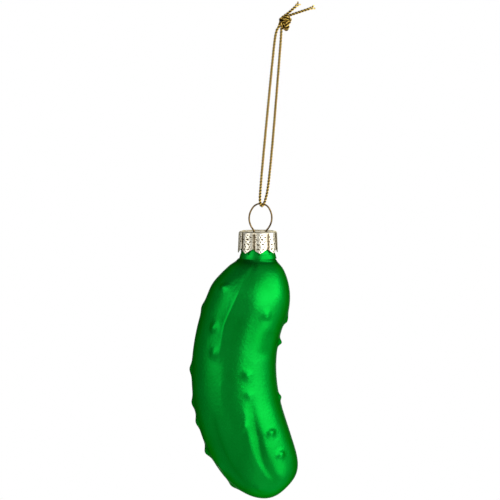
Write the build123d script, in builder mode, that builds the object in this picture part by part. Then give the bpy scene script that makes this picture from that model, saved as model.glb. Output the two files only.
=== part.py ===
from build123d import *
from math import cos, pi, radians, sin, tan
import os

# A glass pickle that hangs on a cord: a blown shell with an open neck, a stamped crown cap over
# the neck, a spring wire whose ring stands out of the cap, and one gold cord tied in a loop.
# Millimetres. Plumb is Z, the front is -Y, and the origin is the top of the loop, under the knot.

# How it hangs
hang_drop = 66.3  # from the top of the loop down to the middle of the ring's round top
ring_lean = 3.0  # degrees that the spring wire leans off plumb
neck_lean = 6.0  # degrees that the neck leans off plumb

# Spring wire
wire_diameter = 0.62
ring_radius = 3.5  # of its round top, to the middle of the wire
ring_height = 6.4  # from the top of the cap up to the middle of the ring's round top
ring_open = 60.0  # degrees from the ring's top to where its round top ends, on each side
ring_corner = 6.2  # radius of the ring's sides below that
leg_spacing = 4.1  # between the legs where they reach the cap
leg_entry = 40.0  # degrees that the legs lean in as they pass through the cap
leg_waist = 1.3  # length from there to where the legs turn outwards
leg_spread = 8.2  # between the knees that bear on the bore
leg_knee = 8.8  # below the cap's top
leg_toe = 2.6  # length of the toe, which turns back in
toe_turn = 18.0  # degrees off the wire's own axis
leg_bend = 1.2  # radius of the bends in the legs

# Cap
cap_sheet = 0.3
cap_clearance = 0.15  # between the skirt and the neck
cap_height = 6.05  # from the top to the notches between the teeth
tooth_height = 1.65
lobe_count = 8
lobe_bulge = 0.4  # how far each pleat swells out of the skirt
cap_flare = 0.3  # how much wider the skirt is at its teeth
crown_rise = 0.6  # height of the sloped edge round the top
crown_inset = 0.35
front_tooth = 7.0  # degrees that the front tooth stands right of the front
wire_clearance = 0.35  # round a leg in its hole
hole_shift = 0.7  # from the neck's axis to the middle of the two holes

# Glass shell
wall = 0.9
neck_diameter = 12.2
rim_gap = 0.3  # between the rim and the cap's top sheet
neck_length = 9.4  # from the rim to the crease above the shoulder
collar_height = 2.2  # of the swollen ring at the foot of the neck
collar_bulge = 0.45
crease_bulge = 0.25  # how much wider than the neck the glass still is at the crease
shoulder_step = 0.8  # how much wider the shoulder starts than the neck
shoulder_shift = 0.4  # from the neck's axis to the start of the spine, to the left
upper_radius = 14.85  # where the shoulder ends
belly_radius = 15.45  # at the fattest place
shoulder_length = 17.0  # along the spine, from the crease
shoulder_fullness = 0.8  # exponent of the shoulder's curve: less is fuller
belly_length = 36.7  # along the spine, from the shoulder to the fattest place
tip_length = 35.2  # along the spine, from there to the tip
tip_fullness = 2.8  # exponent of the rounded end: 2 is an ellipse
shoulder_bend = 43.0  # radius of the spine where it leaves the neck
shoulder_turn = 23.0  # degrees
body_bend = 60.6  # radius of the spine from there to the tip

# Furrows and warts of the pickle
flute_count = 6
flute_depth = 0.55  # from ridge to furrow at half length
front_furrow = 18.0  # degrees right of the front
wart_radius = 1.5  # at the skin
wart_tip = 0.4  # radius of the blunt tip
wart_stand = 0.6  # how far the tip stands out of the skin
wart_sink = 0.6  # how deep its foot is sunk, as a share of the wall

# Cord
cord_diameter = 1.0
knot_length = 5.1
knot_radius = 2.0  # over the wraps
knot_waist = 1.6  # between the wraps
knot_wraps = 3
knot_lean = 12.0  # degrees to the right, off plumb
knot_middle = Vector(1.4, 0, 2.9)

# Loop: down in front on the left, round under the ring's wire, and up behind on the right
loop_route = [
    (-0.1, -0.4, 1.7),
    (-1.2, -0.5, -0.5),
    (-1.6, -0.6, -7.0),
    (-1.15, -0.97, -57.5),
    (-0.6, -1.0, -63.7),
    (0.9, 1.0, -63.7),
    (1.95, 0.97, -55.0),
    (0.7, 0.5, -4.0),
    (1.2, 0.4, 1.4),
]
long_tail_route = [(1.9, 0.45, 4.7), (6.2, 0.5, 7.2), (11.5, 0.5, 9.6)]
short_tail_route = [(1.5, -0.45, 4.7), (3.3, -0.5, 7.6), (6.0, -0.6, 10.8)]

# Warts, as percent of the way down the spine and degrees round it to the right of the front
front_warts = [(16.4, -44), (20.7, 32), (31.4, -37), (40.9, -29), (49.5, 18), (57.7, 24)]
lower_warts = [(70.5, 3), (76.9, 38), (88.5, 37), (79.9, -62), (93.4, -30)]
side_warts = [(19.1, 90), (31.2, 90), (61.2, 86), (25.5, -90), (46.1, -84), (57.1, -84)]
foot_warts = [(63.4, -80), (72.9, -88), (87.5, -88), (82.7, 118)]
back_warts = [(14.1, 150), (22.5, -142), (29.8, 172), (37.7, 128), (43.3, -152), (52.3, 158)]
rear_foot_warts = [(58.5, -124), (67.5, 138), (74.8, -164), (81.6, 146), (90.0, -140)]

warts = front_warts + lower_warts + side_warts + foot_warts + back_warts + rear_foot_warts

# How finely the skin is drawn
station_count = 14  # cross sections along the spine
points_per_flute = 4
slope_reach = 0.5  # on each side, where the skin's slope is taken

neck_radius = neck_diameter / 2
bore_radius = neck_radius - wall
rim_bevel = wall / 3  # at the inner and the outer edge of the rim
rim_start = neck_length - rim_bevel
wart_root = wall * wart_sink
wart_foot = wart_radius + (wart_radius - wart_tip) * wart_root / wart_stand
spine_length = shoulder_length + belly_length + tip_length
front = Vector(0, -1, 0)
os.makedirs("parts", exist_ok=True)


def leaning(lean):
    """The right and up directions of something that leans to the left as it rises."""
    angle = radians(lean)
    return Vector(cos(angle), 0, sin(angle)), Vector(-sin(angle), 0, cos(angle))


wire_right, wire_up = leaning(ring_lean)
neck_right, neck_up = leaning(neck_lean)
ring_middle = Vector(0, 0, -hang_drop)
hole_middle = ring_middle - wire_up * ring_height
cap_top = hole_middle - neck_right * hole_shift
neck_foot = cap_top - neck_up * (cap_sheet + rim_gap + neck_length)

wire_plane = Plane(origin=ring_middle, x_dir=wire_right, z_dir=front)
cap_plane = Plane(origin=cap_top, x_dir=neck_right, z_dir=neck_up)
neck_side = Plane(origin=neck_foot, x_dir=neck_right, z_dir=front)
neck_axis = Axis(neck_foot, neck_up)


def along_spine(distance):
    """Place and heading of the spine, which bows to the left and then curls to the right."""
    bow = min(distance / shoulder_bend, radians(shoulder_turn))
    curl = distance / body_bend - radians(shoulder_turn) * shoulder_bend / body_bend
    heading = max(curl, 0.0) - bow
    right = shoulder_bend * (cos(bow) - 1) + body_bend * (cos(bow) - cos(heading)) - shoulder_shift
    down = shoulder_bend * sin(bow) + body_bend * (sin(bow) + sin(heading))
    middle = neck_foot + neck_right * right - neck_up * down
    return middle, neck_right * sin(heading) - neck_up * cos(heading)


def cross_plane(distance):
    """Plane square to the spine, with X to the right and Y to the front."""
    middle, heading = along_spine(distance)
    return Plane(origin=middle, x_dir=front.cross(heading), z_dir=heading)


def shell_radius(distance, inset):
    """Radius of the unfluted shell, or of the hollow that lies inset within it."""
    foot = neck_radius + shoulder_step - inset
    upper = upper_radius - inset
    belly = belly_radius - inset
    if distance < shoulder_length:
        return foot + (upper - foot) * sin(pi / 2 * distance / shoulder_length) ** shoulder_fullness
    past_shoulder = (distance - shoulder_length) / belly_length
    if past_shoulder < 1:
        return upper + (belly - upper) * (1 - cos(pi * past_shoulder)) / 2
    reach = (distance - shoulder_length - belly_length) / (tip_length - inset)
    return belly * max(0.0, 1 - reach**tip_fullness) ** (1 / tip_fullness)


def skin_radius(distance, angle):
    """Radius of the skin with its furrows, which fade out at the neck and the tip."""
    swing = flute_depth / 2 * sin(pi * distance / spine_length)
    return shell_radius(distance, 0) - swing * cos(flute_count * radians(angle - front_furrow))


def wart_plane(percent, angle):
    """Plane of a wart's foot, inside the wall, with Z straight out of the skin."""
    distance = spine_length * percent / 100
    across = cross_plane(distance)
    outward = across.x_dir * sin(radians(angle)) + across.y_dir * cos(radians(angle))
    sideways = across.x_dir * cos(radians(angle)) - across.y_dir * sin(radians(angle))
    above = skin_radius(distance - slope_reach, angle)
    below = skin_radius(distance + slope_reach, angle)
    slope = (below - above) / (2 * slope_reach)
    away = (outward - across.z_dir * slope).normalized()
    foot = across.origin + outward * skin_radius(distance, angle) - away * wart_root
    return Plane(origin=foot, x_dir=sideways, z_dir=away)


def stations(length):
    """Distances along the spine, closer together towards the ends."""
    return [length * (1 - cos(pi * step / station_count)) / 2 for step in range(station_count)]


def bend_radii(route):
    """Largest even bends: 0.45 of the shorter run beside each corner."""
    radii = []
    for before, corner, after in zip(route, route[1:], route[2:]):
        first = Vector(corner) - Vector(before)
        second = Vector(after) - Vector(corner)
        half_turn = radians(first.get_angle(second)) / 2
        radii.append(0.45 * min(first.length, second.length) / tan(half_turn))
    return radii


def report_tube(name, path, part):
    """Print a tube's length, and its volume beside section times length."""
    expected = pi * cord_diameter**2 / 4 * path.length
    print(name, "length", round(path.length, 2), "volume", round(part.volume, 3), round(expected, 3))


# Cross sections of the fluted skin, and of the plain hollow inside it
skin_sections = []
for distance in stations(spine_length):
    outline = []
    for step in range(flute_count * points_per_flute):
        angle = 180 + 360 * step / (flute_count * points_per_flute)
        radius = skin_radius(distance, angle)
        outline.append((radius * sin(radians(angle)), radius * cos(radians(angle))))
    with BuildSketch(cross_plane(distance)) as skin_section:
        with BuildLine():
            Spline(*outline, periodic=True)
        make_face()
    skin_sections.append(skin_section.sketch)

hollow_sections = []
for distance in stations(spine_length - wall):
    with BuildSketch(cross_plane(distance)) as hollow_section:
        Circle(shell_radius(distance, wall))
    hollow_sections.append(hollow_section.sketch)

# Hollow of the glass, with the bore of the neck
with BuildPart() as hollow:
    loft([*hollow_sections, Vertex(*along_spine(spine_length - wall)[0])])
    with BuildSketch(neck_side):
        with BuildLine():
            Polyline((0, neck_length), (0, 0), (bore_radius, 0), (bore_radius, rim_start))
            Polyline((bore_radius, rim_start), (bore_radius + rim_bevel, neck_length), (0, neck_length))
        make_face()
    revolve(axis=neck_axis)

# Glass shell: fluted skin, neck with its collar, warts, then the hollow taken out
with BuildPart() as glass_body:
    loft([*skin_sections, Vertex(*along_spine(spine_length)[0])])
    with BuildSketch(neck_side):
        with BuildLine():
            Polyline((neck_radius, 0), (neck_radius, -wall), (0, -wall), (0, neck_length))
            Polyline((0, neck_length), (neck_radius - rim_bevel, neck_length), (neck_radius, rim_start))
            Line((neck_radius, rim_start), (neck_radius, collar_height))
            crest = neck_radius + collar_bulge
            crease = neck_radius + crease_bulge
            third = collar_height / 3
            Polyline((neck_radius, collar_height), (crest, 2 * third), (crest, third), (crease, 0))
            Line((crease, 0), (neck_radius, 0))
        make_face()
    revolve(axis=neck_axis)
    with Locations(*[wart_plane(percent, angle) for percent, angle in warts]):
        Cone(wart_foot, wart_tip, wart_root + wart_stand, align=(Align.CENTER, Align.CENTER, Align.MIN))
    add(hollow.part, mode=Mode.SUBTRACT)
glass_body.part.label = "glass_body"
export_step(glass_body.part, "parts/glass_body.step")


def pleated(radius):
    """Closed outline of the pleated skirt, whose grooves lie at this radius."""
    pitch = 360 / lobe_count
    for lobe in range(lobe_count):
        start = -90 + front_tooth + (lobe - 0.5) * pitch
        groove = Vector(radius, 0).rotate(Axis.Z, start)
        crest = Vector(radius + lobe_bulge, 0).rotate(Axis.Z, start + pitch / 2)
        next_groove = Vector(radius, 0).rotate(Axis.Z, start + pitch)
        ThreePointArc(groove, crest, next_groove)


def pleated_levels(inset):
    """Depth below the cap's top and groove radius of the skirt's three levels."""
    skirt = neck_radius + cap_clearance + cap_sheet - inset
    return [
        (inset, skirt - crown_inset),
        (crown_rise + inset / 2, skirt),
        (cap_height + tooth_height, skirt + cap_flare),
    ]


# Space under the cap
with BuildPart() as cap_space:
    for depth, radius in pleated_levels(cap_sheet):
        with BuildSketch(cap_plane.offset(-depth)):
            with BuildLine():
                pleated(radius)
            make_face()
    loft(ruled=True)

# Cap: pleated skirt with a zigzag edge, and two holes for the wire's legs
with BuildPart() as cap:
    for depth, radius in pleated_levels(0):
        with BuildSketch(cap_plane.offset(-depth)):
            with BuildLine():
                pleated(radius)
            make_face()
    loft(ruled=True)
    add(cap_space.part, mode=Mode.SUBTRACT)
    notch_half = (neck_radius + lobe_bulge) * tan(pi / lobe_count)
    for notch in range(lobe_count):
        turn = -90 + front_tooth + (notch + 0.5) * 360 / lobe_count
        outward = neck_right * cos(radians(turn)) + cap_plane.y_dir * sin(radians(turn))
        notch_base = cap_top - neck_up * (cap_height + tooth_height)
        with BuildSketch(Plane(origin=notch_base, x_dir=neck_up.cross(outward), z_dir=outward)):
            Polygon((-notch_half, 0), (notch_half, 0), (0, tooth_height), align=None)
        extrude(amount=2 * neck_radius, mode=Mode.SUBTRACT)
    hole_half = leg_spacing / 2 - cap_sheet / 2 * tan(radians(leg_entry))
    with BuildSketch(cap_plane):
        with Locations((hole_shift - hole_half, 0), (hole_shift + hole_half, 0)):
            Circle(wire_diameter / 2 + wire_clearance)
    extrude(amount=-crown_rise, mode=Mode.SUBTRACT)
cap.part.label = "cap"
export_step(cap.part, "parts/cap.step")

# Spring wire: the ring, and two sprung legs that bow out against the bore
with BuildPart() as hanger_wire:
    leave = Vector(0, ring_radius).rotate(Axis.Z, -ring_open)
    leave_way = Vector(0, -1).rotate(Axis.Z, 90 - ring_open)
    entry_way = Vector(0, -1).rotate(Axis.Z, -leg_entry)
    through = Vector(leg_spacing / 2, -ring_height)
    corner_run = (through - leave).cross(entry_way).Z / leave_way.cross(entry_way).Z
    corner = leave + leave_way * corner_run
    waist = through + entry_way * leg_waist
    knee = Vector(leg_spread / 2, -ring_height - leg_knee)
    toe = knee + Vector(0, -leg_toe).rotate(Axis.Z, -toe_turn)
    with BuildLine(wire_plane) as wire_path:
        CenterArc((0, 0), ring_radius, 90 - ring_open, 2 * ring_open)
        for side in (1, -1):
            leg = [(side * point.X, point.Y) for point in (leave, corner, waist, knee, toe)]
            FilletPolyline(*leg, radius=[ring_corner, leg_bend, leg_bend])
    with BuildSketch(Plane(origin=wire_path.wire() @ 0, z_dir=wire_path.wire() % 0)):
        Circle(wire_diameter / 2)
    sweep(path=wire_path.wire())
hanger_wire.part.label = "hanger_wire"
export_step(hanger_wire.part, "parts/hanger_wire.step")

# Cord: the loop, its knot and the two tails
with BuildPart() as cord_loop:
    with BuildLine() as loop_path:
        FilletPolyline(*loop_route, radius=bend_radii(loop_route))
    with BuildSketch(Plane(origin=loop_path.wire() @ 0, z_dir=loop_path.wire() % 0)):
        Circle(cord_diameter / 2)
    sweep(path=loop_path.wire())
cord_loop.part.label = "cord_loop"
export_step(cord_loop.part, "parts/cord_loop.step")
report_tube("loop", loop_path.wire(), cord_loop.part)

with BuildPart() as cord_tail_long:
    with BuildLine() as long_tail_path:
        FilletPolyline(*long_tail_route, radius=bend_radii(long_tail_route))
    with BuildSketch(Plane(origin=long_tail_path.wire() @ 0, z_dir=long_tail_path.wire() % 0)):
        Circle(cord_diameter / 2)
    sweep(path=long_tail_path.wire())
cord_tail_long.part.label = "cord_tail_long"
export_step(cord_tail_long.part, "parts/cord_tail_long.step")
report_tube("long tail", long_tail_path.wire(), cord_tail_long.part)

with BuildPart() as cord_tail_short:
    with BuildLine() as short_tail_path:
        FilletPolyline(*short_tail_route, radius=bend_radii(short_tail_route))
    with BuildSketch(Plane(origin=short_tail_path.wire() @ 0, z_dir=short_tail_path.wire() % 0)):
        Circle(cord_diameter / 2)
    sweep(path=short_tail_path.wire())
cord_tail_short.part.label = "cord_tail_short"
export_step(cord_tail_short.part, "parts/cord_tail_short.step")
report_tube("short tail", short_tail_path.wire(), cord_tail_short.part)

# Knot: a barrel of wraps round the strands
knot_right, knot_up = leaning(-knot_lean)
with BuildPart() as cord_knot:
    with BuildSketch(Plane(origin=knot_middle, x_dir=knot_right, z_dir=front)):
        with BuildLine():
            wrap_height = knot_length / knot_wraps
            for wrap in range(knot_wraps):
                low = wrap * wrap_height - knot_length / 2
                crest = (knot_radius, low + wrap_height / 2)
                ThreePointArc((knot_waist, low), crest, (knot_waist, low + wrap_height))
            top = knot_length / 2
            Polyline((knot_waist, top), (0, top), (0, -top), (knot_waist, -top))
        make_face()
    revolve(axis=Axis(knot_middle, knot_up))
cord_knot.part.label = "cord_knot"
export_step(cord_knot.part, "parts/cord_knot.step")

print("bend radii", [round(radius, 2) for radius in bend_radii(loop_route)])
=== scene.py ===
import bmesh
import bpy
from math import atan2, cos, degrees, exp, hypot, pi, radians, sin, tan
from mathutils import Matrix, Vector
from mathutils.kdtree import KDTree


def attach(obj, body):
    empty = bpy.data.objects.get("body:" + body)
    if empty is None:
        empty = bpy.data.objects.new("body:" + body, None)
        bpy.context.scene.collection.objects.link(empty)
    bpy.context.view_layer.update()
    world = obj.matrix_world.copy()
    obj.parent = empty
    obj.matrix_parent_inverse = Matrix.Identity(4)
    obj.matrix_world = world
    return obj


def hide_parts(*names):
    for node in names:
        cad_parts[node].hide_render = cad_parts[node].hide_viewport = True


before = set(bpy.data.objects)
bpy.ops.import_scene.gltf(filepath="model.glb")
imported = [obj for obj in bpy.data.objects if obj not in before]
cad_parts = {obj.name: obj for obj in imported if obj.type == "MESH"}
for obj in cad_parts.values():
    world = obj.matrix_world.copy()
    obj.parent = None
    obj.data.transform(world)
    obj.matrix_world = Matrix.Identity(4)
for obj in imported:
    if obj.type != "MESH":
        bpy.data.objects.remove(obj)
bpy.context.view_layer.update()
mm = 0.001
weld = 0.0001  # in millimetres: points nearer than this become one
front = Vector((0, -1, 0))

bpy.context.scene.view_settings.view_transform = "Standard"
print("stage 1: frame loaded, nodes", sorted(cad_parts))


def leaning(lean):
    # right and up directions of something that leans left as it rises
    angle = radians(lean)
    return Vector((cos(angle), 0, sin(angle))), Vector((-sin(angle), 0, cos(angle)))


def placed(right, up, origin):
    # local X right, Y up, Z to the front, in millimetres, at a place in millimetres
    turn = Matrix((right, up, right.cross(up))).transposed().to_4x4()
    return Matrix.Scale(mm, 4) @ Matrix.Translation(origin) @ turn


def addPiece(name, mesh, body, slot, nodes, *materials):
    for polygon in mesh.polygons:
        polygon.use_smooth = True
    piece = bpy.data.objects.new(name, mesh)
    bpy.context.scene.collection.objects.link(piece)
    for material in materials:
        mesh.materials.append(material)
    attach(piece, body)
    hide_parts(*nodes)
    return piece


def meshOf(bm, name):
    mesh = bpy.data.meshes.new(name)
    bm.to_mesh(mesh)
    bm.free()
    return mesh


# Camera and light

photo = {
    "width": 0.180,  # of the picture, measured at the ornament
    "middle": Vector((-0.00246, 0.0, -0.07989)),
    "distance": 2.5,
    "elevation": 5.0,
    "roll": 6.0,  # plumb leans right in the picture
    "sensor": 36.0,  # in millimetres
}


def makeCamera():
    rise = radians(photo["elevation"])
    roll = radians(photo["roll"])
    ahead = Vector((0, cos(rise), -sin(rise)))
    side = Vector((1, 0, 0))
    over = side.cross(ahead)
    right = side * cos(roll) + over * sin(roll)
    top = over * cos(roll) - side * sin(roll)
    lens = bpy.data.cameras.new("camera")
    lens.sensor_width = photo["sensor"]
    lens.lens = lens.sensor_width * photo["distance"] / photo["width"]
    camera = bpy.data.objects.new("camera", lens)
    turn = Matrix((right, top, -ahead)).transposed().to_4x4()
    camera.matrix_world = Matrix.Translation(photo["middle"] - ahead * photo["distance"]) @ turn
    bpy.context.scene.collection.objects.link(camera)
    bpy.context.scene.camera = camera


studio = {
    # each stands at its middle, with its back to an azimuth: 0 is the front, 90 the right
    "boxes": [
        {
            "name": "rightBox", "middle": (0.241, -0.211, 0.06), "back": 49.0, "roll": 12.0,
            "size": (0.37, 0.36), "glow": 1.9,
        },
        {
            "name": "farBox", "middle": (0.421, -0.003, 0.09), "back": 49.0,
            "size": (0.18, 0.26), "glow": 2.2,
        },
        {
            "name": "backBox", "middle": (0.0, 0.7, 0.0), "back": 180.0,
            "size": (0.3, 0.7), "glow": 1.6,
        },
    ],
    # grey cards that only reflections see, upright or lying flat
    "cards": [
        {
            "name": "frontCard", "middle": (-0.08, -0.75, 0.15), "back": -6.0,
            "size": (0.8, 1.14), "grey": 0.52,
        },
        {
            "name": "leftCard", "middle": (-0.371, 0.448, 0.04), "back": -124.0,
            "size": (1.33, 0.92), "grey": 0.36,
        },
        {
            "name": "rightCard", "middle": (0.51, 0.55, 0.04), "back": 137.0,
            "size": (0.78, 0.92), "grey": 0.75,
        },
        {
            "name": "leftPanel", "middle": (-0.57, -0.414, 0.16), "back": -54.0,
            "size": (0.51, 0.6), "grey": 1.85,
        },
        {
            "name": "lowRightCard", "middle": (0.3, -0.142, -0.23), "back": 49.0,
            "size": (0.2, 0.18), "grey": 2.3,
        },
        {
            "name": "topLeftCard", "middle": (-0.52, 0.2, 0.4), "flat": True,
            "size": (1.0, 0.7), "grey": 0.2,
        },
        {
            "name": "topRightCard", "middle": (0.265, -0.1, 0.42), "flat": True,
            "size": (1.03, 1.2), "grey": 0.62,
        },
        {
            "name": "lowCard", "middle": (-0.45, -0.2, -0.41), "flat": True,
            "size": (0.8, 1.0), "grey": 0.55,
        },
    ],
    "fill": 0.45,  # of the white surround, as light
    "floorDrop": -0.42,
    "floorRadius": 1.05,
    "floorSides": 96,
    "paper": 0.8,  # how pale the floor is for the light that it sends on
    "paperSeen": 0.3,  # and where it is looked at, with the lift that keeps it pale there
    "paperLift": 0.72,
}


def greyTone(tone):
    return tone, tone, tone, 1


def standing(middle, back, flat=False):
    upright = Matrix.Rotation(0 if flat else pi / 2, 4, "X")
    return Matrix.Translation(middle) @ Matrix.Rotation(radians(back), 4, "Z") @ upright


def softBox(name, middle, back, size, glow, roll=0.0):
    lamp = bpy.data.lights.new(name, "AREA")
    lamp.shape = "RECTANGLE"
    lamp.size, lamp.size_y = size
    lamp.energy = glow * pi * size[0] * size[1]
    box = bpy.data.objects.new(name, lamp)
    box.matrix_world = standing(middle, back) @ Matrix.Rotation(radians(roll), 4, "Z")
    box.visible_camera = False
    bpy.context.scene.collection.objects.link(box)


def greyCard(name, middle, size, grey, back=0.0, flat=False):
    bm = bmesh.new()
    place = standing(middle, back, flat) @ Matrix.Diagonal((*size, 1, 1))
    bmesh.ops.create_grid(bm, x_segments=1, y_segments=1, size=1 / 2, matrix=place)
    card = bpy.data.objects.new(name, meshOf(bm, name))
    bpy.context.scene.collection.objects.link(card)
    paper = bpy.data.materials.new(name)
    paper.use_nodes = True
    tree = paper.node_tree
    tree.nodes.clear()
    output = tree.nodes.new("ShaderNodeOutputMaterial")
    glow = tree.nodes.new("ShaderNodeEmission")
    glow.inputs["Strength"].default_value = grey
    tree.links.new(glow.outputs[0], output.inputs["Surface"])
    card.data.materials.append(paper)
    card.visible_camera = False
    card.visible_diffuse = False
    card.visible_shadow = False
    card.visible_transmission = False


def seenDirectly(tree):
    # 1 for camera, glossy and transmission rays
    path = tree.nodes.new("ShaderNodeLightPath")
    either = tree.nodes.new("ShaderNodeMath")
    either.operation = "MAXIMUM"
    tree.links.new(path.outputs["Is Camera Ray"], either.inputs[0])
    tree.links.new(path.outputs["Is Glossy Ray"], either.inputs[1])
    seen = tree.nodes.new("ShaderNodeMath")
    seen.operation = "MAXIMUM"
    tree.links.new(either.outputs[0], seen.inputs[0])
    tree.links.new(path.outputs["Is Transmission Ray"], seen.inputs[1])
    return seen.outputs[0]


def makeSurround():
    world = bpy.data.worlds.new("surround")
    bpy.context.scene.world = world
    world.use_nodes = True
    tree = world.node_tree
    tree.nodes.clear()
    output = tree.nodes.new("ShaderNodeOutputWorld")
    mix = tree.nodes.new("ShaderNodeMixShader")
    dim = tree.nodes.new("ShaderNodeBackground")
    dim.inputs["Strength"].default_value = studio["fill"]
    white = tree.nodes.new("ShaderNodeBackground")
    for background in (dim, white):
        background.inputs["Color"].default_value = greyTone(1)
    tree.links.new(seenDirectly(tree), mix.inputs[0])
    tree.links.new(dim.outputs[0], mix.inputs[1])
    tree.links.new(white.outputs[0], mix.inputs[2])
    tree.links.new(mix.outputs[0], output.inputs["Surface"])


def makeFloor():
    bm = bmesh.new()
    bmesh.ops.create_circle(bm, cap_ends=True, segments=studio["floorSides"], radius=studio["floorRadius"])
    bmesh.ops.translate(bm, verts=bm.verts, vec=(0, 0, studio["floorDrop"]))
    floor = bpy.data.objects.new("floor", meshOf(bm, "floor"))
    bpy.context.scene.collection.objects.link(floor)
    paper = bpy.data.materials.new("whitePaper")
    paper.use_nodes = True
    tree = paper.node_tree
    tree.nodes.clear()
    output = tree.nodes.new("ShaderNodeOutputMaterial")
    mix = tree.nodes.new("ShaderNodeMixShader")
    matt = tree.nodes.new("ShaderNodeBsdfDiffuse")
    matt.inputs["Color"].default_value = greyTone(studio["paper"])
    shade = tree.nodes.new("ShaderNodeBsdfDiffuse")
    shade.inputs["Color"].default_value = greyTone(studio["paperSeen"])
    lift = tree.nodes.new("ShaderNodeEmission")
    lift.inputs["Strength"].default_value = studio["paperLift"]
    both = tree.nodes.new("ShaderNodeAddShader")
    tree.links.new(shade.outputs[0], both.inputs[0])
    tree.links.new(lift.outputs[0], both.inputs[1])
    tree.links.new(seenDirectly(tree), mix.inputs[0])
    tree.links.new(matt.outputs[0], mix.inputs[1])
    tree.links.new(both.outputs[0], mix.inputs[2])
    tree.links.new(mix.outputs[0], output.inputs["Surface"])
    floor.data.materials.append(paper)


makeCamera()
for box in studio["boxes"]:
    softBox(**box)
for card in studio["cards"]:
    greyCard(**card)
makeSurround()
makeFloor()
print("stage 2: camera, soft boxes, cards, surround and floor")


# Materials

def newMetal(name):
    finish = bpy.data.materials.new(name)
    finish.use_nodes = True
    tree = finish.node_tree
    shader = tree.nodes["Principled BSDF"]
    shader.inputs["Metallic"].default_value = 1.0
    return finish, tree, shader


def addNode(tree, kind, **settings):
    node = tree.nodes.new(kind)
    for key, value in settings.items():
        setattr(node, key, value)
    return node


def noiseOf(tree, scale, detail=3.0):
    place = addNode(tree, "ShaderNodeTexCoord")
    noise = addNode(tree, "ShaderNodeTexNoise")
    noise.inputs["Scale"].default_value = scale
    noise.inputs["Detail"].default_value = detail
    tree.links.new(place.outputs["Object"], noise.inputs["Vector"])
    return noise.outputs["Fac"]


def rampOf(tree, value, stops):
    ramp = addNode(tree, "ShaderNodeValToRGB")
    while len(ramp.color_ramp.elements) < len(stops):
        ramp.color_ramp.elements.new(0.5)
    for element, (place, colour) in zip(ramp.color_ramp.elements, stops):
        element.position = place
        element.color = (*colour, 1)
    tree.links.new(value, ramp.inputs[0])
    return ramp.outputs["Color"]


def spread(tree, value, low, high):
    span = addNode(tree, "ShaderNodeMapRange")
    span.inputs["To Min"].default_value = low
    span.inputs["To Max"].default_value = high
    tree.links.new(value, span.inputs["Value"])
    return span.outputs["Result"]


def attributeOf(tree, name):
    return addNode(tree, "ShaderNodeAttribute", attribute_name=name).outputs["Fac"]


def colourBy(tree, shader, value, look):
    tree.links.new(rampOf(tree, value, look["tones"]), shader.inputs["Base Color"])


def polish(tree, shader, look):
    sheen = spread(tree, noiseOf(tree, look["sheenScale"]), *look["roughness"])
    tree.links.new(sheen, shader.inputs["Roughness"])


def addGrain(tree, shader, look):
    bump = addNode(tree, "ShaderNodeBump")
    bump.inputs["Strength"].default_value = look["grainStrength"]
    bump.inputs["Distance"].default_value = look["grainDepth"]
    tree.links.new(noiseOf(tree, look["grainScale"], look["grainDetail"]), bump.inputs["Height"])
    tree.links.new(bump.outputs["Normal"], shader.inputs["Normal"])


lacquer = {
    "edgeTint": (0.25, 0.34, 0.28, 1),
    "cloudScale": 90.0,
    "cloudDetail": 4.0,
    "thinness": (0.6, 1.0),  # of the spray, from cloud to cloud
    "tones": [
        # the darkest tone is only reached where the painted shade of the crease and furrows is taken off
        (0.0, (0.0005, 0.05, 0.006)),
        (0.5, (0.001, 0.2, 0.016)),
        (0.72, (0.001, 0.255, 0.02)),
        (0.88, (0.002, 0.3, 0.028)),
    ],
    "sheenScale": 420.0,
    "roughness": (0.27, 0.37),
    "grainScale": 1000.0,
    "grainDetail": 5.0,
    "grainStrength": 0.5,
    "grainDepth": 0.00014,
}


def greenLacquer():
    finish, tree, shader = newMetal("satin green lacquer on silvered glass")
    shader.inputs["Specular Tint"].default_value = lacquer["edgeTint"]
    cloud = noiseOf(tree, lacquer["cloudScale"], lacquer["cloudDetail"])
    # the spray's thinness from cloud to cloud, less the painted shade of the crease and furrows
    thin = addNode(tree, "ShaderNodeMath", operation="SUBTRACT")
    tree.links.new(spread(tree, cloud, *lacquer["thinness"]), thin.inputs[0])
    tree.links.new(attributeOf(tree, "pooled"), thin.inputs[1])
    colourBy(tree, shader, thin.outputs[0], lacquer)
    polish(tree, shader, lacquer)
    addGrain(tree, shader, lacquer)
    return finish


silvering = {
    "cloudScale": 300.0,
    "tones": [(0.3, (0.5, 0.52, 0.5)), (0.7, (0.72, 0.74, 0.72))],
    "sheenScale": 500.0,
    "roughness": (0.18, 0.34),
}


def silverInside():
    finish, tree, shader = newMetal("silvering inside the glass")
    colourBy(tree, shader, noiseOf(tree, silvering["cloudScale"]), silvering)
    polish(tree, shader, silvering)
    return finish


plating = {
    "edgeTint": (0.4, 0.37, 0.25, 1),
    "wearScale": 1100.0,
    "wear": (-0.42, 0.42),  # random wear, added to the pressed pattern's tone and its painted shade
    "tones": [
        # the darkest tones are painted shade in the pits and grooves and the painted dark reflection of the
        # strips
        (0.0, (0.05, 0.036, 0.018)),
        (0.4, (0.36, 0.3, 0.2)),
        (0.75, (0.74, 0.68, 0.51)),
        (1.0, (0.92, 0.88, 0.74)),
    ],
    "sheenScale": 900.0,
    "roughness": (0.13, 0.3),
    "grainScale": 2600.0,
    "grainDetail": 5.0,
    "grainStrength": 0.2,
    "grainDepth": 0.00005,
}


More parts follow.
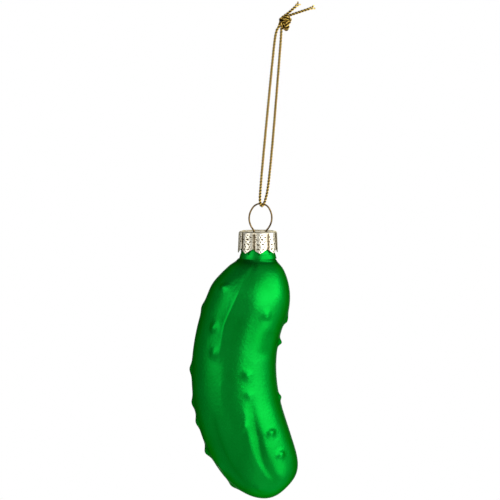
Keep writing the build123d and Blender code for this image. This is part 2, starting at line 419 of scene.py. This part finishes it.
def champagnePlate():
    finish, tree, shader = newMetal("champagne plated tin")
    shader.inputs["Specular Tint"].default_value = plating["edgeTint"]
    # colour from the pressed pattern's tone and its painted shade, with random wear
    worn = addNode(tree, "ShaderNodeMath", operation="ADD")
    tree.links.new(attributeOf(tree, "raised"), worn.inputs[0])
    tree.links.new(spread(tree, noiseOf(tree, plating["wearScale"]), *plating["wear"]), worn.inputs[1])
    colourBy(tree, shader, worn.outputs[0], plating)
    polish(tree, shader, plating)
    addGrain(tree, shader, plating)
    return finish


bronze = {
    "cloudScale": 700.0,
    "tones": [(0.3, (0.06, 0.036, 0.01)), (0.7, (0.3, 0.2, 0.07))],
    "sheenScale": 2000.0,
    "roughness": (0.16, 0.3),
}


def bronzeWire():
    finish, tree, shader = newMetal("dull bronze spring wire")
    colourBy(tree, shader, noiseOf(tree, bronze["cloudScale"]), bronze)
    polish(tree, shader, bronze)
    return finish


gold = {
    # painted shade down between the strands, painted highlight on their crowns
    "tones": [
        (0.74, (0.008, 0.004, 0.001)),
        (0.86, (0.08, 0.042, 0.005)),
        (0.93, (0.5, 0.31, 0.045)),
        (1.0, (0.88, 0.62, 0.16)),
    ],
    "sheenScale": 3000.0,
    "roughness": (0.25, 0.45),
    "grainScale": 9000.0,
    "grainDetail": 3.0,
    "grainStrength": 0.3,
    "grainDepth": 0.00003,
}


def goldThread():
    finish, tree, shader = newMetal("twisted metallic gold thread")
    # painted shade and painted highlight, by how far each point stands out
    colourBy(tree, shader, attributeOf(tree, "proud"), gold)
    polish(tree, shader, gold)
    addGrain(tree, shader, gold)
    return finish


# Cord: one twisted thread, from the tip of the short tail to the tip of the long one

cord = {
    "diameter": 0.001,
    "strands": 2,
    "lay": 0.0022,  # length of one full twist
    "strandRadius": 0.00027,
    "twistRadius": 0.00025,
    "step": 0.00012,
    "fineness": 256,  # of the spline, between its points
    "roundness": 3,  # of a strand
    "unlaid": 0.003,  # how much of each tail's end comes untwisted
    "flare": 1.5,  # how much further the strands stand apart at its very end
    "shortTail": [(0.0058, -0.0006, 0.0104), (0.0033, -0.0005, 0.0075)],
    "loop": [
        (-0.0004, -0.0006, 0.0014),
        (-0.0014, -0.0005, -0.0003),
        (-0.0016, -0.0006, -0.0070),
        (-0.00115, -0.00097, -0.0575),
        (-0.0006, -0.0010, -0.0637),
        (0.0009, 0.0010, -0.0637),
        (0.00195, 0.00097, -0.0550),
        (0.0007, 0.0005, -0.0040),
        (0.0004, 0.0004, 0.0014),
    ],
    "longTail": [(0.0062, 0.0005, 0.0072), (0.0115, 0.0005, 0.0096)],
}

knot = {
    "middle": Vector((0.0014, 0.0, 0.0029)),
    "lean": -12.0,  # to the right
    "width": 0.00056,  # a third of its reach to the left
    "height": 0.00084,
    "depth": 0.0008,
    "shift": 0.00025,  # to the right, to centre it
    "cut": 2.0,  # degrees left out where the knot opens
    "steps": 18,
    "apart": Vector((0.00028, 0.0003, -0.00025)),  # half way from one of the two cords to the other
    # up behind the knot to the tails
    "exit": [(-0.0016, 0.0007, 0.0004), (-0.0007, 0.0008, 0.0019), (-0.0001, 0.0006, 0.0027)],
}


def knotPoints(side):
    # an overhand knot, opened on its left: in there, round the upper loop and then the lower, and out
    right, up = leaning(knot["lean"])
    middle = knot["middle"] + knot["apart"] * side

    def at(across, back, height):
        return middle + right * across + Vector((0, back, 0)) + up * height

    points = []
    for step in range(knot["steps"] + 1):
        turn = radians(knot["cut"] + (360 - 2 * knot["cut"]) * step / knot["steps"])
        across = knot["shift"] - knot["width"] * (cos(turn) + 2 * cos(2 * turn))
        height = knot["height"] * (sin(turn) - 2 * sin(2 * turn))
        points.append(at(across, -knot["depth"] * sin(3 * turn), height))
    return points + [at(*place) for place in knot["exit"]]


def splinePoints(route):
    curve = bpy.data.curves.new("cordLine", "CURVE")
    curve.dimensions = "3D"
    spline = curve.splines.new("NURBS")
    spline.points.add(len(route) - 1)
    for point, place in zip(spline.points, route):
        point.co = (*place, 1)
    spline.order_u = 3
    spline.use_endpoint_u = True
    curve.resolution_u = cord["fineness"]
    spline.resolution_u = cord["fineness"]
    line = bpy.data.objects.new("cordLine", curve)
    bpy.context.scene.collection.objects.link(line)
    shape = bpy.data.meshes.new_from_object(line.evaluated_get(bpy.context.evaluated_depsgraph_get()))
    picked = []
    for vertex in shape.vertices:
        if not picked or (vertex.co - picked[-1]).length >= cord["step"]:
            picked.append(vertex.co.copy())
    bpy.data.objects.remove(line)
    bpy.data.meshes.remove(shape)
    return picked


def lengthOf(line):
    return sum((after - before).length for before, after in zip(line, line[1:]))


def strandsAlong(line):
    # strands twisted round the line, which open out where the tails are unlaid
    length = lengthOf(line)
    curve = bpy.data.curves.new("cordStrands", "CURVE")
    curve.dimensions = "3D"
    curve.bevel_depth = cord["strandRadius"]
    curve.bevel_resolution = cord["roundness"]
    curve.use_fill_caps = True
    tracks = [[] for strand in range(cord["strands"])]
    across = Vector((1, 0, 0))
    run = 0.0
    for index, place in enumerate(line):
        ahead = (line[min(index + 1, len(line) - 1)] - line[max(index - 1, 0)]).normalized()
        across = (across - ahead * across.dot(ahead)).normalized()
        other = ahead.cross(across)
        run += (place - line[max(index - 1, 0)]).length
        loose = max(0.0, 1 - min(run, length - run) / cord["unlaid"])
        radius = cord["twistRadius"] * (1 + cord["flare"] * loose * loose)
        for strand, track in enumerate(tracks):
            turn = 2 * pi * (run / cord["lay"] + strand / cord["strands"])
            track.append(place + (across * cos(turn) + other * sin(turn)) * radius)
    for track in tracks:
        spline = curve.splines.new("POLY")
        spline.points.add(len(track) - 1)
        for point, place in zip(spline.points, track):
            point.co = (*place, 1)
    rope = bpy.data.objects.new("cordStrands", curve)
    bpy.context.scene.collection.objects.link(rope)
    mesh = bpy.data.meshes.new_from_object(rope.evaluated_get(bpy.context.evaluated_depsgraph_get()))
    bpy.data.objects.remove(rope)
    mesh.name = "gold_cord"
    # how far each point stands out from the middle of the cord, for its colour: painted shade between the
    # strands, painted highlight on their crowns
    nearest = KDTree(len(line))
    for index, place in enumerate(line):
        nearest.insert(place, index)
    nearest.balance()
    proud = mesh.attributes.new("proud", "FLOAT", "POINT")
    reach = cord["strandRadius"] + cord["twistRadius"]
    for vertex in mesh.vertices:
        proud.data[vertex.index].value = nearest.find(vertex.co)[2] / reach
    return mesh


def makeCord(finish):
    route = [Vector(point) for point in cord["shortTail"]]
    route += reversed(knotPoints(-1))
    route += [Vector(point) for point in cord["loop"]]
    route += knotPoints(1)
    route += [Vector(point) for point in cord["longTail"]]
    line = splinePoints(route)
    nodes = ["cord_loop", "cord_knot", "cord_tail_long", "cord_tail_short"]
    piece = addPiece("gold_cord", strandsAlong(line), "cord", "gold_cord", nodes, finish)


makeCord(goldThread())


# Spring wire: half of it bent by spins and runs, then mirrored

wire = {
    # in millimetres and degrees
    "lean": 3.0,
    "radius": 0.31,
    "ringMiddle": Vector((0, 0, -66.3)),
    "ringRadius": 3.5,  # of its round top
    "ringHeight": 6.4,  # from the cap's top up to the middle of the round top
    "ringOpen": 60.0,  # round top, degrees each side
    "legSpacing": 4.1,
    "legEntry": 40.0,
    "legWaist": 1.3,
    "legSpread": 8.2,
    "legKnee": 8.8,
    "legToe": 2.6,
    "toeTurn": 18.0,
    "bends": [6.2, 1.2, 1.2],  # radii, from the ring down to the toe
    "toeRounding": 0.4,  # of the wire's radius
    "toeSteps": 3,
    "sides": 16,
    "ringSteps": 48,
    "bendSteps": 12,
    "weld": 0.001,
}


def turned(x, y, angle):
    return Vector((x, y)) @ Matrix.Rotation(radians(angle), 2).transposed()


def wireCorners():
    start = turned(0, wire["ringRadius"], -wire["ringOpen"])
    along = turned(0, -1, 90 - wire["ringOpen"])
    entry = turned(0, -1, -wire["legEntry"])
    through = Vector((wire["legSpacing"] / 2, -wire["ringHeight"]))
    reach = (through - start).cross(entry) / along.cross(entry)
    waist = through + entry * wire["legWaist"]
    knee = Vector((wire["legSpread"] / 2, -wire["ringHeight"] - wire["legKnee"]))
    toe = knee + turned(0, -wire["legToe"], -wire["toeTurn"])
    return [start, start + along * reach, waist, knee, toe]


def makeWire(finish):
    bm = bmesh.new()
    ring = bmesh.ops.create_circle(bm, segments=wire["sides"], radius=wire["radius"])
    lift = Matrix.Translation((0, wire["ringRadius"], 0)) @ Matrix.Rotation(pi / 2, 4, "Y")
    bmesh.ops.transform(bm, matrix=lift, verts=ring["verts"])
    ends = list(bm.edges)

    def bend(edges, centre, angle, steps):
        done = bmesh.ops.spin(
            bm, geom=edges, cent=(*centre, 0), axis=(0, 0, 1), angle=angle, steps=steps, use_duplicate=False
        )
        return [item for item in done["geom_last"] if isinstance(item, bmesh.types.BMEdge)]

    def run(edges, way):
        done = bmesh.ops.extrude_edge_only(bm, edges=edges)
        fresh = [item for item in done["geom"] if isinstance(item, bmesh.types.BMVert)]
        bmesh.ops.translate(bm, verts=fresh, vec=(*way, 0))
        made = [item for item in done["geom"] if isinstance(item, bmesh.types.BMEdge)]
        return [edge for edge in made if all(vertex in fresh for vertex in edge.verts)]

    ends = bend(ends, (0, 0), -radians(wire["ringOpen"]), wire["ringSteps"])
    corners = wireCorners()
    place = corners[0]
    for index, radius in enumerate(wire["bends"]):
        arriving = (corners[index + 1] - corners[index]).normalized()
        leaving = (corners[index + 2] - corners[index + 1]).normalized()
        turn = atan2(arriving.cross(leaving), arriving.dot(leaving))
        setback = radius * abs(tan(turn / 2))
        before = corners[index + 1] - arriving * setback
        ends = run(ends, before - place)
        side = 1 if turn > 0 else -1
        centre = before + Vector((-arriving.y, arriving.x)) * radius * side
        ends = bend(ends, centre, turn, wire["bendSteps"])
        place = corners[index + 1] + leaving * setback
    ends = run(ends, corners[-1] - place)
    bmesh.ops.contextual_create(bm, geom=ends)
    tip = [face for face in bm.faces if len(face.verts) == wire["sides"]]
    bmesh.ops.bevel(
        bm, geom=[edge for face in tip for edge in face.edges], offset=wire["radius"] * wire["toeRounding"],
        segments=wire["toeSteps"], profile=0.5, affect="EDGES", material=-1,
    )
    bmesh.ops.mirror(bm, geom=bm.verts[:] + bm.edges[:] + bm.faces[:], axis="X", merge_dist=wire["weld"])
    bmesh.ops.remove_doubles(bm, verts=bm.verts, dist=wire["weld"])
    bmesh.ops.recalc_face_normals(bm, faces=bm.faces)
    right, up = leaning(wire["lean"])
    bmesh.ops.transform(bm, matrix=placed(right, up, wire["ringMiddle"]), verts=bm.verts)
    mesh = meshOf(bm, "spring_wire")
    piece = addPiece("spring_wire", mesh, "hanger", "wire_metal", ["hanger_wire"], finish)
    print("stage 4: spring wire,", len(piece.data.polygons), "faces")


makeWire(bronzeWire())


# Glass pickle: a profile spun round a straight axis, then bent on its spine, furrowed and given warts

glass = {
    # in millimetres and degrees
    "neckLean": 6.0,
    "neckFoot": Vector((0.684, 0, -82.71)),
    "wall": 0.9,
    "neckRadius": 6.1,
    "neckLength": 9.4,
    "collarHeight": 2.2,
    "collarBulge": 0.06,
    "creaseRadius": 6.8,
    "creaseSlope": 0.45,
    "creaseReach": 3.2,  # where the soft crease has run out into the shoulder
    "slopeStep": 0.01,  # over which the shoulder's slope there is measured
    "creaseShade": 0.6,  # painted shade: how much darker the lacquer is painted in the crease under the collar
    "creaseShadePlace": -0.6,
    "creaseShadeWidth": 1.1,
    "furrowShade": 0.35,  # painted shade in the furrows, for each millimetre of a furrow's depth
    "shoulderStep": 0.8,
    "shoulderShift": 0.4,
    "upperRadius": 14.85,
    "bellyRadius": 15.45,
    "shoulderLength": 17.0,
    "shoulderFullness": 0.8,
    "bellyLength": 36.7,
    "tipLength": 35.2,
    "tipFullness": 2.8,
    "shoulderBend": 43.0,
    "shoulderTurn": 23.0,
    "bodyBend": 60.6,
    "fluteCount": 6,
    "fluteDepth": 0.25,
    "frontFurrow": 18.0,
    "tipCurl": Vector((1.3, 0, 0.4)),  # how much further the tip's end turns up to the right
    "tipCurlFrom": 73.0,
    "rows": 240,
    "rowSpread": 0.9,  # below 1 the rows stand further apart at the crease
    "steps": 260,
    "collarSteps": 12,
    "neckSteps": 4,
    "rimSteps": 8,
    "hollowRows": 40,
    "reliefStart": 4.0,  # how far down the skin all its relief has risen
    "reliefEnd": 3.0,  # how near the axis, at the tip, it starts to fade
    # distance along the spine, degrees right of the front, height
    "warts": [
        (12.5, -47, 0.6), (17.0, 30, 0.5), (26.8, -37, 0.8), (34.8, -29, 0.55), (42.0, 19, 0.6),
        (50.0, 20, 0.45), (60.8, 2, 0.45), (67.3, 36, 0.85), (77.5, 36, 0.8), (71.0, -62, 0.5),
        (83.0, -30, 0.4), (17.0, 90, 0.8), (27.7, 90, 1.2), (54.4, 86, 0.8), (22.7, -90, 0.5),
        (41.0, -84, 0.8), (50.8, -84, 0.8), (56.4, -80, 0.8), (65.6, -88, 1.3), (77.8, -88, 0.7),
        (73.5, 118, 0.6), (12.5, 150, 0.5), (20.0, -142, 0.7), (26.5, 172, 0.8), (33.5, 128, 0.7),
        (38.5, -152, 0.7), (46.5, 158, 0.8), (52.0, -124, 0.6), (60.0, 138, 0.75), (66.5, -164, 0.7),
        (72.5, 146, 0.6), (80.0, -140, 0.6),
    ],
    "wartWidth": 1.6,
    "wartReach": 4.0,  # along the spine, past which a wart is nothing
    "foldReach": 60.0,  # the same for a fold, round the spine
    # long ridges and furrows: half width, how round the crest is, and a path of points like the warts'
    "folds": [
        {
            "width": 1.9, "crest": 1.3,
            "path": [
                (1.5, -13, 0), (7, -17, 0.4), (13.5, -19, 0.7), (20, -20, 0.8),
                (25, -22, 0.8), (32, -21, 0.5), (39, -19, 0),
            ],
        },
        {
            "width": 1.2, "crest": 2,
            "path": [(0.5, -5, -0.1), (3, -8, -0.3), (5.5, -12, -0.35), (9, -15, -0.25), (13, -16, 0)],
        },
        {
            "width": 2.8, "crest": 2,
            "path": [(14, -4, 0), (24, -7, -0.25), (34, -8, -0.2), (42, -6, 0)],
        },
        {
            "width": 1.8, "crest": 2,
            "path": [
                (46, 20, 0), (52, 21, -0.15), (57, 19, -0.35), (67, 15, -0.6),
                (75, 7, -0.65), (83, 1, -0.35), (87, -1, 0),
            ],
        },
        {
            "width": 1.8, "crest": 2,
            "path": [(50, 13, 0), (62, 6, 0.2), (71, -3, 0.3), (80, -6, 0.2), (85, -7, 0)],
        },
        {
            "width": 4.0, "crest": 2,
            "path": [(20, 46, 0), (26, 46, -0.5), (31, 46, -0.5), (37, 46, 0)],
        },
        {
            "width": 1.6, "crest": 1.6,
            "path": [(53, -36, 0), (59, -38, -0.3), (66, -40, -0.4), (76, -42, -0.25), (81, -42, 0)],
        },
        {
            "width": 1.5, "crest": 1.6,
            "path": [(42, -17, 0), (46, -18, 0.15), (55, -22, 0.15), (62, -26, 0)],
        },
        {
            "width": 2.6, "crest": 2,
            "path": [(10, 128, 0), (20, 134, -0.4), (34, 140, -0.4), (48, 132, 0)],
        },
        {
            "width": 2.2, "crest": 1.6,
            "path": [(42, 170, 0), (52, 174, -0.45), (68, 176, -0.45), (80, 168, 0)],
        },
        {
            "width": 2.6, "crest": 1.4,
            "path": [(6, -160, 0), (16, -165, 0.4), (30, -166, 0.4), (40, -160, 0)],
        },
        {
            "width": 2.4, "crest": 2,
            "path": [(44, -108, 0), (54, -111, -0.35), (66, -110, -0.35), (76, -104, 0)],
        },
        {
            "width": 2.8, "crest": 2,
            "path": [(12, -112, 0), (22, -108, -0.3), (34, -108, -0.3), (42, -114, 0)],
        },
    ],
}
glass["spine"] = glass["shoulderLength"] + glass["bellyLength"] + glass["tipLength"]
neckRight, neckUp = leaning(glass["neckLean"])


def alongSpine(distance):
    bow = min(distance / glass["shoulderBend"], radians(glass["shoulderTurn"]))
    curl = (distance - radians(glass["shoulderTurn"]) * glass["shoulderBend"]) / glass["bodyBend"]
    heading = max(curl, 0.0) - bow
    right = glass["shoulderBend"] * (cos(bow) - 1) + glass["bodyBend"] * (cos(bow) - cos(heading))
    down = glass["shoulderBend"] * sin(bow) + glass["bodyBend"] * (sin(bow) + sin(heading))
    middle = glass["neckFoot"] + neckRight * (right - glass["shoulderShift"]) - neckUp * down
    ahead = neckRight * sin(heading) - neckUp * cos(heading)
    return middle, front.cross(ahead)


def shellRadius(distance, inset):
    foot = glass["neckRadius"] + glass["shoulderStep"] - inset
    upper = glass["upperRadius"] - inset
    belly = glass["bellyRadius"] - inset
    if distance < glass["shoulderLength"]:
        rise = sin(pi / 2 * distance / glass["shoulderLength"]) ** glass["shoulderFullness"]
        return foot + (upper - foot) * rise
    past = (distance - glass["shoulderLength"]) / glass["bellyLength"]
    if past < 1:
        return upper + (belly - upper) * (1 - cos(pi * past)) / 2
    reach = (distance - glass["shoulderLength"] - glass["bellyLength"]) / (glass["tipLength"] - inset)
    return belly * max(0.0, 1 - reach ** glass["tipFullness"]) ** (1 / glass["tipFullness"])


def apart(angle, other):
    # degrees from one direction to the other, the short way round
    return (angle - other + 180) % 360 - 180


def eased(share):
    return share * share * (3 - 2 * share)


def foldHeight(distance, angle, radius, width, crest, path):
    # the fold's height fades out to both sides of its path, and eases from point to point along it
    last = len(path) - 1
    place = min(max(distance, path[0][0]), path[last][0])
    index = next(step for step in range(1, last + 1) if place <= path[step][0])
    (start, startAngle, startHeight), (end, endAngle, endHeight) = path[index - 1:index + 1]
    share = (place - start) / (end - start)
    aside = radians(apart(angle, startAngle + (endAngle - startAngle) * share)) * radius
    height = startHeight + (endHeight - startHeight) * eased(share)
    return height * exp(-((hypot(aside, distance - place) / width) ** crest))


def skinHeight(distance, angle, radius):
    swing = glass["fluteDepth"] / 2 * sin(pi * distance / glass["spine"])
    height = -swing * cos(glass["fluteCount"] * radians(angle - glass["frontFurrow"]))
    for fold in glass["folds"]:
        if abs(apart(angle, fold["path"][1][1])) < glass["foldReach"]:
            height += foldHeight(distance, angle, radius, **fold)
    for place, turn, stand in glass["warts"]:
        if abs(distance - place) < glass["wartReach"]:
            aside = radians(apart(angle, turn)) * radius
            height += stand * exp(-((hypot(distance - place, aside) / glass["wartWidth"]) ** 2))
    return height


def skinRadius(distance):
    # the shell's radius, with a soft crease where the neck flares into the shoulder
    reach = glass["creaseReach"]
    if distance >= reach:
        return shellRadius(distance, 0)
    share = distance / reach
    end = shellRadius(reach, 0)
    endSlope = (shellRadius(reach + glass["slopeStep"], 0) - end) / glass["slopeStep"]
    ease = eased(share)
    leaving = share * (1 - share) ** 2 * glass["creaseSlope"] * reach
    arriving = share * share * (share - 1) * endSlope * reach
    return glass["creaseRadius"] * (1 - ease) + end * ease + leaving + arriving


def glassProfile():
    # radius and height over the crease, from the tip up the skin, over the rim and down the hollow
    points = []
    rows = glass["rows"]
    for row in range(rows + 1):
        distance = glass["spine"] * sin(pi / 2 * (1 - row / rows)) ** glass["rowSpread"]
        points.append((skinRadius(distance), -distance))
    steps = glass["collarSteps"]
    for step in range(1, steps):
        height = step * glass["collarHeight"] / steps
        lean = (glass["creaseRadius"] - glass["neckRadius"]) * (1 - height / glass["collarHeight"])
        points.append((glass["neckRadius"] + lean + glass["collarBulge"] * sin(pi * step / steps), height))
    half = glass["wall"] / 2
    top = glass["neckLength"] - half
    straight = top - glass["collarHeight"]
    steps = glass["neckSteps"]
    for step in range(steps + 1):
        points.append((glass["neckRadius"], glass["collarHeight"] + straight * step / steps))
    for step in range(1, glass["rimSteps"] + 1):
        turn = pi * step / glass["rimSteps"]
        points.append((glass["neckRadius"] - half + half * cos(turn), top + half * sin(turn)))
    outside = len(points) - glass["rimSteps"] // 2
    for step in range(1, steps):
        points.append((glass["neckRadius"] - glass["wall"], top * (1 - step / steps)))
    for row in range(glass["hollowRows"] + 1):
        distance = (glass["spine"] - glass["wall"]) * row / glass["hollowRows"]
        points.append((shellRadius(distance, glass["wall"]), -distance))
    return points, outside


def makeGlass(skin, silver):
    bm = bmesh.new()
    inside = bm.verts.layers.int.new("inside")
    # a layer of painted shade for the lacquer's colour
    pooled = bm.verts.layers.float.new("pooled")
    profile, outside = glassProfile()
    verts = [bm.verts.new((radius, 0, height)) for radius, height in profile]
    for index, vertex in enumerate(verts):
        vertex[inside] = int(index > outside)
    edges = [bm.edges.new(pair) for pair in zip(verts, verts[1:])]
    bmesh.ops.spin(
        bm, geom=verts + edges, cent=(0, 0, 0), axis=(0, 0, 1), angle=2 * pi, steps=glass["steps"],
        use_merge=True, use_duplicate=False,
    )
    bmesh.ops.remove_doubles(bm, verts=bm.verts, dist=weld)
    for vertex in bm.verts:
        radius = hypot(vertex.co.x, vertex.co.y)
        angle = degrees(atan2(vertex.co.x, -vertex.co.y))
        height = vertex.co.z
        if height > 0:
            middle = glass["neckFoot"] + neckUp * height
            right = neckRight
        else:
            middle, right = alongSpine(-height)
            if not vertex[inside]:
                fade = min(1.0, -height / glass["reliefStart"]) * min(1.0, radius / glass["reliefEnd"])
                relief = fade * skinHeight(-height, angle, radius)
                radius += relief
                # painted shade in the furrows and flute valleys, darker where they are deeper
                vertex[pooled] = max(0.0, -relief) * glass["furrowShade"]
        # painted shade along the crease under the collar
        if not vertex[inside]:
            away = (height - glass["creaseShadePlace"]) / glass["creaseShadeWidth"]
            vertex[pooled] += glass["creaseShade"] * exp(-(away ** 2))
        curl = max(0.0, (-height - glass["tipCurlFrom"]) / (glass["spine"] - glass["tipCurlFrom"]))
        middle = middle + glass["tipCurl"] * curl * curl
        vertex.co = middle + (right * sin(radians(angle)) + front * cos(radians(angle))) * radius
    for face in bm.faces:
        face.material_index = int(all(vertex[inside] for vertex in face.verts))
    bmesh.ops.recalc_face_normals(bm, faces=bm.faces)
    bmesh.ops.scale(bm, vec=(mm, mm, mm), verts=bm.verts)
    mesh = meshOf(bm, "glass_pickle")
    piece = addPiece("glass_pickle", mesh, "glass", "green_glass", ["glass_body"], skin, silver)
    print("stage 5: glass pickle,", len(piece.data.polygons), "faces")


makeGlass(greenLacquer(), silverInside())


# Crown cap: a pleated skirt with a zigzag edge, pressed with a small lattice

cap = {
    # in millimetres and degrees
    "top": Vector((-0.361, 0, -72.764)),
    "sheet": 0.3,
    "lobes": 8,
    "bulge": 0.4,
    "frontTooth": 7.0,
    "levels": [(0.0, 6.05), (0.25, 6.35), (0.6, 6.55), (7.7, 6.85)],  # depth and groove radius
    "topProfile": [(5.0, 0.0), (5.15, 0.16), (5.5, 0.16), (5.65, 0.0), (6.0, 0.0)],  # radius and depth
    "crownDepths": [0.0, 0.1, 0.25, 0.4, 0.6],  # of the rows round the edge of the top
    "waiting": 10.0,  # radius at which the skirt's points wait to be placed
    "notchDepth": 6.05,
    "toothDepth": 7.7,
    "holeShift": 0.7,  # of the pair of holes, to the right
    "holeSpacing": 3.848,
    "holeRadius": 0.66,
    "holeSides": 24,
    "lobeSteps": 48,
    "rows": 64,
    "press": 0.14,  # height of the pressed pattern
    "topTone": 0.36,  # of the top, duller than the pressed bands
    "crownTone": 0.95,  # of the rounded edge round it
    "crownFade": 0.7,
    # the lattice: across a pleat as shares of half its width, down it in millimetres
    "bandStart": 0.9,
    "bandPitch": 1.75,
    "bandsAcross": 1.5,
    "swayDown": (0.14, 2.6),  # how far the bands sway and how often
    "swayAcross": (0.1, 3.7),
    "bandWidth": 0.2,
    "bandSlope": 0.16,
    "plainSide": 0.16,
    "plainTop": 0.8,
    "plainFade": 0.3,
    # painted shade in the groove between the pleats
    "grooveShade": 0.55,
    "grooveWidth": 0.07,
    "grooveFade": 0.6,
    # a dark strip on the left of each pleat, pressed in a little and painted dark: a painted dark
    # reflection
    "darkReflectionTone": 0.95,
    "stripPlace": -0.78,
    "stripWidth": 0.2,
    "stripFade": 0.9,
}


def grooveRadius(depth):
    for (high, start), (low, end) in zip(cap["levels"], cap["levels"][1:]):
        if depth <= low:
            return start + (end - start) * (depth - high) / (low - high)
    return cap["levels"][-1][1]


def pleatRadius(groove, offset):
    # round arc from groove to groove, offset in degrees from the pleat's middle
    half = radians(180 / cap["lobes"])
    crest = groove + cap["bulge"]
    centre = (crest ** 2 - groove ** 2) / (2 * (crest - groove * cos(half)))
    turn = radians(offset)
    return centre * cos(turn) + ((crest - centre) ** 2 - (centre * sin(turn)) ** 2) ** 0.5


def within(value):
    return min(max(value, 0.0), 1.0)


def pressed(offset, depth):
    # 0 to 1: bands that cross, with a small pit in each opening and a groove between the pleats. Low values
    #         are pressed in and also painted dark: painted shade in the pits and the groove, and a painted
    #         dark reflection in the strip on the left of each pleat
    across = offset / (180 / cap["lobes"])
    down = (depth - cap["bandStart"]) / cap["bandPitch"]
    farDown, oftenDown = cap["swayDown"]
    farAcross, oftenAcross = cap["swayAcross"]
    sway = farDown * sin(oftenDown * pi * down) + farAcross * sin(oftenAcross * pi * across)
    one = abs((across * cap["bandsAcross"] + down + sway + 0.5) % 1 - 0.5)
    other = abs((across * cap["bandsAcross"] - down + sway + 0.5) % 1 - 0.5)
    # the pits are pressed in and painted dark: painted shade in the recesses
    pit = within((min(one, other) - cap["bandWidth"]) / cap["bandSlope"])
    beside = 1 - abs(across)
    inside = within(beside / cap["plainSide"]) * within((depth - cap["plainTop"]) / cap["plainFade"])
    # the groove between the pleats is painted darker: painted shade
    cut = exp(-((beside / cap["grooveWidth"]) ** 2))
    groove = cap["grooveShade"] * cut * within(depth / cap["grooveFade"])
    crown = (1 - cap["crownTone"]) * within(1 - depth / cap["crownFade"])
    # the strip is painted dark: a painted dark reflection
    aside = (across - cap["stripPlace"]) / cap["stripWidth"]
    strip = cap["darkReflectionTone"] * exp(-(aside ** 4)) * within(depth / cap["stripFade"])
    return 1 - max(pit * inside, groove, crown, strip)


def makeCap(finish):
    bm = bmesh.new()
    raised = bm.verts.layers.float.new("raised")
    count = cap["lobes"] * cap["lobeSteps"]
    rows = cap["rows"]
    crownEnd = cap["crownDepths"][-1]
    skirt = cap["toothDepth"] - crownEnd
    depths = cap["crownDepths"] + [crownEnd + skirt * row / rows for row in range(1, rows + 1)]
    profile = [bm.verts.new((radius, 0, -depth)) for radius, depth in cap["topProfile"]]
    profile += [bm.verts.new((cap["waiting"], 0, -depth)) for depth in depths]
    edges = [bm.edges.new(pair) for pair in zip(profile, profile[1:])]
    bmesh.ops.spin(
        bm, geom=profile + edges, cent=(0, 0, 0), axis=(0, 0, 1), angle=2 * pi, steps=count,
        use_merge=True, use_duplicate=False,
    )
    bmesh.ops.remove_doubles(bm, verts=bm.verts, dist=weld)
    pitch = 360 / cap["lobes"]
    topRadius = cap["topProfile"][-1][0]
    skirtFrom = (topRadius + cap["waiting"]) / 2
    for vertex in bm.verts:
        radius = hypot(vertex.co.x, vertex.co.y)
        angle = atan2(vertex.co.y, vertex.co.x)
        offset = apart(degrees(angle) + 90 - cap["frontTooth"], 0)
        offset = (offset + pitch / 2) % pitch - pitch / 2
        vertex[raised] = cap["topTone"]
        if radius > skirtFrom:
            share = max(0.0, (-vertex.co.z - crownEnd) / skirt)
            edge = cap["toothDepth"] - (cap["toothDepth"] - cap["notchDepth"]) * abs(offset) / (pitch / 2)
            depth = -vertex.co.z if share == 0 else crownEnd + (edge - crownEnd) * share
            press = pressed(offset, depth)
            # the pressed pattern, with its painted shade and painted dark reflection, sets the colour
            vertex[raised] = press
            radius = pleatRadius(grooveRadius(depth), offset) + cap["press"] * (press - 1)
            vertex.co = (radius * cos(angle), radius * sin(angle), -depth)
    rim = [
        edge for edge in bm.edges
        if edge.is_boundary and all(hypot(vertex.co.x, vertex.co.y) < topRadius for vertex in edge.verts)
    ]
    for side in (-1, 1):
        across = cap["holeShift"] + side * cap["holeSpacing"] / 2
        hole = bmesh.ops.create_circle(
            bm, segments=cap["holeSides"], radius=cap["holeRadius"],
            matrix=Matrix.Translation((across, 0, 0)),
        )
        for vertex in hole["verts"]:
            vertex[raised] = cap["topTone"]
            rim += [edge for edge in vertex.link_edges if edge not in rim]
    bmesh.ops.triangle_fill(bm, edges=rim, use_beauty=True, normal=(0, 0, 1))
    bmesh.ops.recalc_face_normals(bm, faces=bm.faces)
    bm.normal_update()
    # the sheet's thickness, by a second skin set in along the normals
    lining = bmesh.ops.extrude_face_region(bm, geom=bm.faces[:], use_keep_orig=True)
    for vertex in [item for item in lining["geom"] if isinstance(item, bmesh.types.BMVert)]:
        vertex.co -= vertex.normal * cap["sheet"]
    bmesh.ops.recalc_face_normals(bm, faces=bm.faces)
    turn = Matrix((neckRight, Vector((0, 1, 0)), neckUp)).transposed().to_4x4()
    place = Matrix.Scale(mm, 4) @ Matrix.Translation(cap["top"]) @ turn
    bmesh.ops.transform(bm, matrix=place, verts=bm.verts)
    piece = addPiece("crown_cap", meshOf(bm, "crown_cap"), "cap", "cap_metal", ["cap"], finish)
    print("stage 6: crown cap,", len(piece.data.polygons), "faces")


makeCap(champagnePlate())
